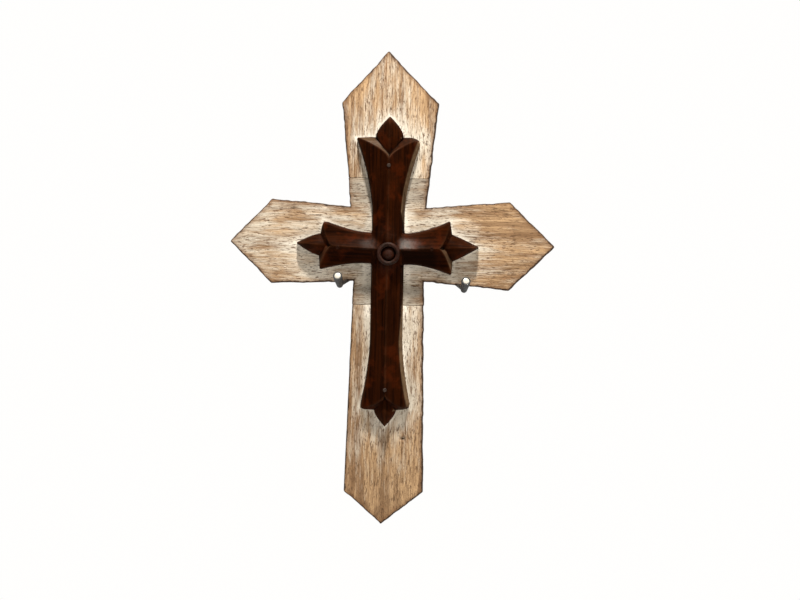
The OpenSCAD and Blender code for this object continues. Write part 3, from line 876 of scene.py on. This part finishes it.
wood = {"crossbar": board_wood("whitewashed_board_bar", 0, 3.0),
        "upright_top": board_wood("whitewashed_board_head", 2, 23.0),
        "upright_bottom": board_wood("whitewashed_board_foot", 2, 43.0)}
plans = {"crossbar": (crossbar_outline, [(SEAM_UP, 1), (SEAM_DOWN, -1)], 0, 100),
         "upright_top": (head_outline, [(SEAM_UP, -1)], 2, 200),
         "upright_bottom": (foot_outline, [(SEAM_DOWN, 1)], 2, 300)}
for name, (outline, seams, grain, seed) in plans.items():
    obj, edge = board(name, outline, seams, grain, seed)
    cutters = []
    for z0, _ in seams:
        cutters += dowel_bores(z0)
    brads = {"crossbar": ["brad_left", "brad_right"], "upright_top": ["brad_top"],
             "upright_bottom": ["brad_bottom"]}[name]
    cutters += [brad_bore(b) for b in brads]
    if name == "upright_top":
        cutters.append(crack([(0.6, 109.0), (0.9, 114.5), (0.4, 119.0), (0.8, 124.0),
                              (0.5, 128.0), (0.9, 132.5)], 0.75, 3.0))
    carve(obj, cutters)
    soften(obj)
    x, y, z = places(obj)
    rim = -edge(x, z)
    to_right, downward = slope(edge, x, z, 0.6, 0), slope(edge, x, z, 0, -0.6)
    near_carved = np.clip(carved_plan(x, z), 0, None)
    halo = np.exp(-near_carved / 15.0) + 0.5 * np.exp(-(near_carved / 1.6) ** 2)
    patch = 0.5 + 0.5 * noise((x, z), 30.0, seed + 11)
    stub = np.zeros_like(x)
    if name == "crossbar":
        stub = (smooth_step(32, 40, z) + smooth_step(-30, -36, z)) * (np.abs(x) < 45)
    # edge: distance in from the sawn outline, lowered on edges facing right and down so that their dark
    # band is wider there, as painted shade.
    paint(obj, "edge", rim - 0.55 * np.clip(to_right, 0, 1) - 0.45 * np.clip(downward, 0, 1))
    wash = 0.15 + 0.46 * halo + 0.24 * patch + 0.10 * stub
    if name == "crossbar":
        wash = (wash - 0.08 * smooth_step(40, 110, x) + 0.10 * smooth_step(-35, -90, x)
                - 0.17 * smooth_step(34, 62, x) * smooth_step(2, 14, z)
                + 0.14 * smooth_step(-100, -122, x))
        # Darker on the stubs beside the upright and on the right arm's lower half; the head and foot
        # below grow darker towards the head's lower end and the foot's lower middle.
        darkening = (stub * (0.85 + 0.2 * smooth_step(0, 20, x))
                 + 0.30 * smooth_step(60, 130, x) * smooth_step(0, -20, z))
    elif name == "upright_top":
        wash = (wash - 0.05 * smooth_step(96, 70, z) * smooth_step(2.0, 6.0, near_carved)
                - 0.16 * smooth_step(-10, -30, x))
        darkening = 0.03 * smooth_step(90, 66, z)
    else:
        wash = (wash - 0.16 * smooth_step(-150, -210, z) + 0.02 * smooth_step(10, 26, x)
                - 0.20 * smooth_step(-12, -26, x) * smooth_step(-150, -120, z))
        darkening = 0.45 * smooth_step(-60, -200, z) * smooth_step(44, 5, np.abs(x - 4))
    fresh = smooth_step(-0.1, 0.5, noise((x, z), 17.0, seed + 12))
    paint(obj, "wash", wash)
    paint(obj, "bright", np.clip((0.12 + 0.35 * fresh) * np.exp(-(near_carved / 1.4) ** 2)
                                 + 0.55 * fresh * np.exp(-near_carved / 12.0), 0, 1))
    paint(obj, "darkening", darkening)
    # Dark dent bottoms: soil, and painted shade in the deeper dents.
    paint(obj, "soil_and_shade", dent_depth(x, z, DENTS[name], grain)[1] * (y < FRONT + 4))
    paint(obj, "back", smooth_step(BACK - 1.5, BACK - 0.4, y))
    place(obj, "cross", [name], wood[name])


# ---- making the carved cross ----

low = (crossarm_low[0], carved_low[1], carved_low[2])
high = (crossarm_high[0], FRONT + SINK, carved_high[2])
whole = build("carved_whole", *skin(carved_field, low, high, CARVED_STEP))

LAP_HALF, LAP = 14.0, 6.0       # half-width of the half-lap, and the height of its plane
ROOM_X, ROOM_Z = 94.0, 60.0     # how far the crossarm's cutter reaches aside, and up and down
ROOM_FRONT, ROOM_BACK = 30.0, 5.0       # and in front of the boards' front, and behind it
SEAT = 8.0                      # height of the floor of the boss's seat
STEM = 2.5                      # radius of the button's stem


def block(a, b):
    """A closed box between two corners, used as a cutter."""
    verts = list(itertools.product(*zip(a, b)))
    faces = [(0, 1, 3, 2), (4, 6, 7, 5), (0, 4, 5, 1), (2, 3, 7, 6), (0, 2, 6, 4), (1, 5, 7, 3)]
    return build("block", verts, faces)


def lap_side(way):
    """A cutter for all that lies above (way 1) or below (way -1) the crossarm in the crossing."""
    rises = (LAP_HALF * math.tan(math.radians(TILT_LEFT)), 0,
             LAP_HALF * math.tan(math.radians(TILT_RIGHT)))
    edge = [(x, way * HALF - DROP + rise) for x, rise in zip((-LAP_HALF, 0, LAP_HALF), rises)]
    far = (ROOM_Z + 1) * way
    plan = edge + [(LAP_HALF, far), (-LAP_HALF, far)]
    n = len(plan)
    verts = [(x, FRONT + y, z) for y in (-ROOM_FRONT - 1, ROOM_BACK + 1) for x, z in plan]
    faces = [(k, (k + 1) % n, n + (k + 1) % n, n + k) for k in range(n)]
    faces += [tuple(reversed(range(n))), tuple(range(n, 2 * n))]
    if way < 0:
        faces = [face[::-1] for face in faces]
    return build("lap_side", verts, faces)


def crossarm_room():
    """The space of the crossarm: both side arms, and the lower half of the crossing."""
    room = block((-ROOM_X, FRONT - ROOM_FRONT, -ROOM_Z), (ROOM_X, FRONT + ROOM_BACK, ROOM_Z))
    top = block((-LAP_HALF, FRONT - ROOM_FRONT - 1, -ROOM_Z - 1), (LAP_HALF, FRONT - LAP, ROOM_Z + 1))
    carve(room, [top, lap_side(1), lap_side(-1)])
    return room


crossarm = whole.copy()
crossarm.data = whole.data.copy()
bpy.context.scene.collection.objects.link(crossarm)
crossarm.name = "carved_crossarm_wood"
whole.name = "carved_upright_wood"
carve(crossarm, [crossarm_room()], "INTERSECT")
carve(whole, [crossarm_room()])



def boss_cutter(radius, floor, segments=32):
    """A cutter round the boss's axis, from above the ridges down to a height above the boards."""
    return cylinder(radius + GAP, (BOSS_X, FRONT - (RIDGE + 3), BOSS_Z),
                    (BOSS_X, FRONT - floor, BOSS_Z), segments)


carve(whole, [boss_cutter(RING_R, SEAT, 96), boss_cutter(STEM, 1), brad_bore("brad_top"),
              brad_bore("brad_bottom")])
carve(crossarm, [boss_cutter(STEM, 1), brad_bore("brad_left"), brad_bore("brad_right")])

for obj, node, grain, seed in ((whole, "carved_upright", 2, 60.0),
                               (crossarm, "carved_crossarm", 0, 80.0)):
    soften(obj, 50)
    x, y, z = places(obj)
    height = FRONT - y
    bend = bulge(carved_field, x, y, z, 1.3)
    plan = carved_plan(x, z)
    to_right = slope(carved_plan, x, z, 0.6, 0)
    # pale: painted light on the right-facing side walls of the vertical arms and on the listed notch
    # walls, in a dust colour; it feeds the wall attribute.
    pale = (smooth_step(-3.6, -2.4, plan) * smooth_step(0.55, 0.8, to_right)
            * ((z > 13) | (z < -17)) * (z < ARMS["up"].petal) * (z > -ARMS["down"].petal - 1)
            * (np.abs(x) < 30) * smooth_step(9.5, 7.5, height))
    for key, way, amount in NOTCH_DUST_AND_LIGHT:
        petals, leaf, notch = arm_parts(key, x, z, height, 0.0)
        s, t = arm_place(ARMS[key], x, z)
        on_wall = smooth_step(-0.2, -0.7, notch) * (np.abs(petals) < 0.5) * (leaf > 0.25)
        pale = np.maximum(pale, amount * on_wall * (t * way > 0) * (s < ARMS[key].petal + LIP)
                          * smooth_step(0.5, 2.0, height))
    paint(obj, "crest", np.clip(bend / 0.34, 0, 1) * (height > 4))
    # Painted shade: the right arm's lower facet, facing down away from the key lamp, is darkened through
    # the hollow attribute.
    shade = 1.0 * smooth_step(9, 15, x) * smooth_step(50, 36, x) * smooth_step(-2.5, -4, z)
    hollow = np.clip(-bend / 0.30 + shade * (z > -30), 0, 1) * smooth_step(0.0, 2.0, height)
    paint(obj, "hollow", hollow * (1 - 0.8 * np.clip(pale, 0, 1)))
    paint(obj, "wall", pale)
    lit_wall = 0.5 * np.clip(pale * 3, 0, 1) * (z > 60) * (x < 0) * (plan < -4)
    beside_boss = (smooth_step(36, 14, np.abs(x)) * smooth_step(7, 13, np.abs(x))
                   * smooth_step(-4, -2, z) * smooth_step(11, 4, z))
    over_boss = (smooth_step(34, 12, np.abs(z + 3)) * smooth_step(6, 12, np.abs(z + 3))
                 * smooth_step(12, 4, np.abs(x)))
    paint(obj, "gloss", lit_wall + (0.38 + 0.37 * smooth_step(-8, 8, x)) * beside_boss
          + 0.30 * over_boss)
    place(obj, "cross", [node], carved_wood(node + "_wood", grain, seed))


# ---- boss ----

button_r = (button_high[0] - button_low[0]) / 2
button_top = FRONT - button_low[1]
inner = button_r + 0.2
half_band = (RING_R - inner) / 2
ring_profile = [(RING_R, SEAT)]
for t in np.linspace(math.pi, 0, 13):
    ring_profile.append((inner + half_band * (1 - math.cos(t)),
                         BOSS_TOP + half_band * (math.sin(t) - 1)))
ring_profile.append((inner, SEAT))
ring = lathe("boss_ring_wood", ring_profile, (BOSS_X, FRONT, BOSS_Z), (0, -1, 0), 96, closed=True)
boss_pieces = {
    "boss_ring": ring,
    "boss_button": lathe("boss_button_wood", [
        (0, 1), (STEM, 1), (STEM, SEAT), (button_r, SEAT), (button_r, button_top - 2.7),
        (button_r - 0.25, button_top - 2.2)] + [
        ((button_r - 0.3) * math.cos(t), button_top - 2.05 + 2.05 * math.sin(t))
        for t in np.linspace(0.12, math.pi / 2, 12)], (BOSS_X, FRONT, BOSS_Z), (0, -1, 0), 96),
}
for node, obj in boss_pieces.items():
    x, y, z = places(obj)
    h, r = FRONT - y, np.hypot(x - BOSS_X, z - BOSS_Z)
    shown = smooth_step(8.5, 10.5, h)
    shrink = 1 - 0.012 * (1 + noise((x, y, z), 4.0, 401)) * shown
    y = y + 0.12 * (1 + noise((x, z), 3.0, 402)) * shown
    reshape(obj, BOSS_X + (x - BOSS_X) * shrink, y, BOSS_Z + (z - BOSS_Z) * shrink)
    soften(obj, 60)
    paint(obj, "crest", 0.08 * smooth_step(BOSS_TOP - 1.6, BOSS_TOP - 0.3, h))
    # The ring and button are darkened all over, less so towards their tops.
    paint(obj, "hollow", 1 - 0.40 * smooth_step(9.0, 12.5, h))
    paint(obj, "wall", 0.0)
    paint(obj, "gloss", 0.62 * smooth_step(BOSS_TOP - 2.5, BOSS_TOP - 1.0, h))
    place(obj, "cross", [node], carved_wood(node + "_wood", 2, 95.0))


# ---- brads ----

brad_material = brad_metal()
for node in ("brad_top", "brad_bottom", "brad_left", "brad_right"):
    centre, head, length = brad_measures(node)
    profile = [(0, 0.16), (head * 0.42, 0.12), (head * 0.62, 0.0), (head * 0.86, 0.06),
               (head, 0.34), (head, 0.85), (head * 0.9, BRAD_HEAD - 0.02),
               (BRAD_SHANK, BRAD_HEAD), (BRAD_SHANK, length - 2.4), (0.35, length - 0.4),
               (0, length)]
    obj = lathe(node + "_nail", profile, centre, (0, 1, 0), 40)
    soften(obj)
    paint(obj, "bare", {"brad_top": 1.0, "brad_bottom": 0.7}.get(node, 0.0))
    place(obj, "cross", [node], brad_material)


# ---- wall hook ----

def rounded_plate(name, low, high, corner, edge):
    """The bar's plate: round corners in plan and softly rounded edges."""
    rings, arc, turns = [], 6, 5
    levels = [(edge * (1 - math.sin(t)), low[1] + edge * (1 - math.cos(t)))
              for t in np.linspace(0, math.pi / 2, turns)]
    levels += [(edge * (1 - math.sin(t)), high[1] - edge * (1 - math.cos(t)))
               for t in np.linspace(math.pi / 2, 0, turns)]
    for shrink, y in levels:
        ring = []
        r = max(corner - shrink, 0.05)
        for k, (sx, sz) in enumerate(((1, 1), (-1, 1), (-1, -1), (1, -1))):
            cx = (high[0] - corner) if sx > 0 else (low[0] + corner)
            cz = (high[2] - corner) if sz > 0 else (low[2] + corner)
            for i in range(arc + 1):
                t = math.pi / 2 * (k + i / arc)
                ring.append((cx + r * math.cos(t), y, cz + r * math.sin(t)))
        rings.append(ring)
    return hoops(name, rings)


WIRE = 1.5              # radius of the wire
LEG_BEND, ELBOW_BEND = 3.0, 4.0
SLOPE = math.radians(38)
HOOK_REACH, HOOK_END = 52.0, 18.0
SLEEVE_BACK = 3.5       # how far the sleeve covers the wire behind the elbow
SLEEVE_FOOT, SLEEVE_MOUTH = 2.35, 3.4
TIP_R, TIP_SINK, TIP_STEM = 2.38, 0.8, 3.0      # the rivet's radius, its seat and its stem
SCREW_X = 30.0          # place of the screws, to each side


def hook_route(side):
    """Corner points of a hook's centre line, and the bend radius at each."""
    a, b = span("hook_rod_" + side)
    x = middle("hook_rod_" + side)[0]
    z = a[2] + WIRE + 0.02
    elbow = FRONT - HOOK_REACH
    tip = (x, elbow - HOOK_END * math.cos(SLOPE), z + HOOK_END * math.sin(SLOPE))
    return [(x, -LEG_BEND, b[2]), (x, -LEG_BEND, z), (x, elbow, z), tip], (LEG_BEND, ELBOW_BEND)


class Route:
    """A planar centre line with bends, read by its length from the start.

    slerp gives unit vectors, so the arcs have a radius of 1 round the bends' own middles."""

    def __init__(self, corners, bends, steps=12):
        points = [Vector(corners[0])]
        for before, corner, after, radius in zip(corners, corners[1:], corners[2:], bends):
            u = (Vector(before) - Vector(corner)).normalized()
            v = (Vector(after) - Vector(corner)).normalized()
            half = u.angle(v) / 2
            cut = radius / math.tan(half)
            middle = Vector(corner) + (u + v).normalized() * radius / math.sin(half)
            a, b = Vector(corner) + u * cut - middle, Vector(corner) + v * cut - middle
            points += [middle + a.slerp(b, k / steps) for k in range(steps + 1)]
        self.points = points + [Vector(corners[-1])]
        self.run = np.concatenate([[0], np.cumsum([
            (q - p).length for p, q in zip(self.points, self.points[1:])])])

    def at(self, s):
        """Point and direction at a length, straight on past either end."""
        i = int(np.clip(np.searchsorted(self.run, s, "right") - 1, 0, len(self.points) - 2))
        p, q = self.points[i], self.points[i + 1]
        direction = (q - p).normalized()
        return p + direction * (s - self.run[i]), direction


def along_route(name, route, stations, closed=False, segments=32):
    """Rings round a route, one for each (length, radius); closed joins the last to the first."""
    rings, side = [], Vector((1, 0, 0))
    for s, radius in stations:
        (p, d0), (_, d1) = route.at(s), route.at(s + 0.05)
        up = (d0 + d1).cross(side).normalized()
        rings.append(circle(p, side, up, radius, segments))
    return hoops(name, rings, closed)


wire_material, sleeve_material, tip_material = black_wire(), black_sleeve(), pale_tip()
leg_bores = []
for side in HOOKS:
    corners, bends = hook_route(side)
    route = Route(corners, bends)
    total = route.run[-1]
    mouth = total - TIP_SINK            # floor of the rivet's seat
    wire_end = mouth - TIP_STEM - GAP
    stations = [(0.0, WIRE - 0.35), (0.1, WIRE - 0.12), (0.35, WIRE)]
    stations += [(s, WIRE) for s in np.linspace(1.0, wire_end - 0.6, 130)]
    stations += [(wire_end - 0.2, WIRE - 0.1), (wire_end, WIRE - 0.35)]
    rod = along_route("hook_wire_" + side, route, stations)
    soften(rod, 50)
    place(rod, "wall_hook", ["hook_rod_" + side], wire_material)

    start = total - HOOK_END - SLEEVE_BACK + 1.2
    outer = []
    for u in np.linspace(0, 1, 60):
        s = start + (total - start) * u
        swell = SLEEVE_FOOT + (SLEEVE_MOUTH - SLEEVE_FOOT) * smooth_step(0.05, 0.95, u)
        outer.append((s, swell + 0.05 * math.sin(u * 37)))
    outer = [(start, 1.75), (start - 0.02, 2.0), (start + 0.15, 2.25)] + outer[2:-2]
    outer += [(total - 0.45, SLEEVE_MOUTH), (total - 0.18, SLEEVE_MOUTH - 0.10),
              (total - 0.02, SLEEVE_MOUTH - 0.32), (total, SLEEVE_MOUTH - 0.55),
              (total - 0.10, 2.72), (mouth, 2.65), (mouth, WIRE + GAP)]
    outer += [(s, WIRE + GAP) for s in np.linspace(mouth - 1, start + 0.3, 40)]
    sleeve = along_route("hook_cap_" + side, route, outer, closed=True)
    soften(sleeve, 60)
    place(sleeve, "wall_hook", ["hook_sleeve_" + side], sleeve_material)

    point, direction = route.at(total)
    profile = [(0, -3.75), (WIRE - 0.2, -3.7), (WIRE, -3.5), (WIRE, -TIP_SINK),
               (TIP_R, -TIP_SINK), (TIP_R, -0.12), (TIP_R - 0.06, 0.0)]
    profile += [((TIP_R - 0.1) * math.cos(t), 0.04 + 0.34 * math.sin(t))
                for t in np.linspace(0.1, math.pi / 2, 10)]
    tip = lathe("hook_rivet_" + side, profile, point, direction, 48)
    soften(tip, 40)
    place(tip, "wall_hook", ["hook_tip_" + side], tip_material)

    top = Vector(corners[0])
    leg_bores.append(cylinder(WIRE + GAP, top + Vector((0, 0, GAP)),
                              (top.x, top.y, plate_low[2] - 2), 40))

plate = rounded_plate("wall_bar", plate_low, plate_high, 3.0, 0.7)
screws = []
for x in (-SCREW_X, SCREW_X):
    screws.append(lathe("screw_hole", [
        (2.25, -1), (2.25, 3.6), (4.65, 6.0), (4.95, 6.0), (4.95, 8)], (x, 0, 0), (0, -1, 0), 56))
carve(plate, screws + leg_bores)
soften(plate, 30)
place(plate, "wall_hook", ["hook_bar"], painted_steel())


# ---- dowels ----

dowel_material = dowel_wood()
for node in [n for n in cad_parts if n.startswith("dowel_")]:
    a, b = span(node)
    r, length = (b[0] - a[0]) / 2, b[2] - a[2]
    profile = [(0, 0), (r - 1.0, 0), (r - 0.55, 0.25), (r - 0.06, 1.3), (r, 2.0),
               (r, length - 2.0), (r - 0.06, length - 1.3), (r - 0.55, length - 0.25),
               (r - 1.0, length), (0, length)]
    cx, cy, _ = middle(node)
    obj = lathe(node + "_peg", profile, (cx, cy, a[2]), (0, 0, 1), 96)
    x, y, z = places(obj)
    turn = np.arctan2(y - cy, x - cx)
    flute = 0.16 * (0.5 + 0.5 * np.cos(turn * 16)) ** 3 * (np.hypot(x - cx, y - cy) > r - 0.1)
    keep = 1 - flute / r
    reshape(obj, cx + (x - cx) * keep, cy + (y - cy) * keep, z)
    soften(obj, 60)
    place(obj, "cross", [node], dowel_material)


# ---- floor, lights and camera ----

FLOOR_Z, FLOOR_HALF, FLOOR_BACK = -470, 1100, 230


def floor():
    """A pale plane under the hanging cross."""
    g = Graph("studio_floor")
    cloud = g.waves((260, 260, 260), 3, 0.5, 0.0, 200.0)
    colour = g.blend(cloud, (0.74, 0.73, 0.71), (0.82, 0.81, 0.79))
    material = g.finish(Base_Color=colour, Roughness=0.75, Specular_IOR_Level=0.2)
    corners = ((-FLOOR_HALF, -FLOOR_HALF), (FLOOR_HALF, -FLOOR_HALF), (FLOOR_HALF, FLOOR_BACK),
               (-FLOOR_HALF, FLOOR_BACK))
    obj = build("studio_floor", [(x, y, FLOOR_Z) for x, y in corners], [(0, 1, 2, 3)])
    obj.data.materials.append(material)


floor()
scene = bpy.context.scene
world = bpy.data.worlds.new("studio")
world.use_nodes = True
tree = world.node_tree
background = tree.nodes["Background"]
seen = tree.nodes.new("ShaderNodeLightPath")
strength = tree.nodes.new("ShaderNodeMapRange")
strength.inputs["To Min"].default_value = 0.35
strength.inputs["To Max"].default_value = 1.0
tree.links.new(seen.outputs["Is Camera Ray"], strength.inputs["Value"])
tree.links.new(strength.outputs[0], background.inputs["Strength"])
background.inputs["Color"].default_value = (1.0, 0.995, 0.985, 1)
scene.world = world
scene.view_settings.view_transform = "Standard"

CROSSING = Vector((0.0, FRONT * MM, 0.0))


def lamp(name, towards, distance, width, power, colour):
    """A soft round lamp aimed at the crossing."""
    data = bpy.data.lights.new(name, "AREA")
    data.shape, data.size, data.energy, data.color = "DISK", width, power, colour
    obj = bpy.data.objects.new(name, data)
    towards = Vector(towards).normalized()
    obj.location = CROSSING + towards * distance
    obj.rotation_euler = towards.to_track_quat("Z", "Y").to_euler()
    scene.collection.objects.link(obj)


lamp("key", (0.0, -1.0, 3.0), 1.2, 0.085, 36, (1.0, 0.965, 0.90))
lamp("right_fill", (1.0, -0.75, 0.45), 1.1, 0.5, 2.6, (1.0, 0.93, 0.82))
lamp("back_fill", (-0.6, 1.0, 0.9), 1.3, 0.6, 5.0, (1.0, 0.98, 0.95))

camera = bpy.data.objects.new("camera", bpy.data.cameras.new("camera"))
camera.location = (0.0163, -0.5343, 0.00745)
camera.rotation_euler = (math.radians(90), math.radians(-1.04), 0)
camera.data.lens, camera.data.sensor_width = 26.77, 36
camera.data.shift_x, camera.data.shift_y = -0.00875, -0.0775
camera.data.clip_start = 0.01
scene.collection.objects.link(camera)
scene.camera = camera
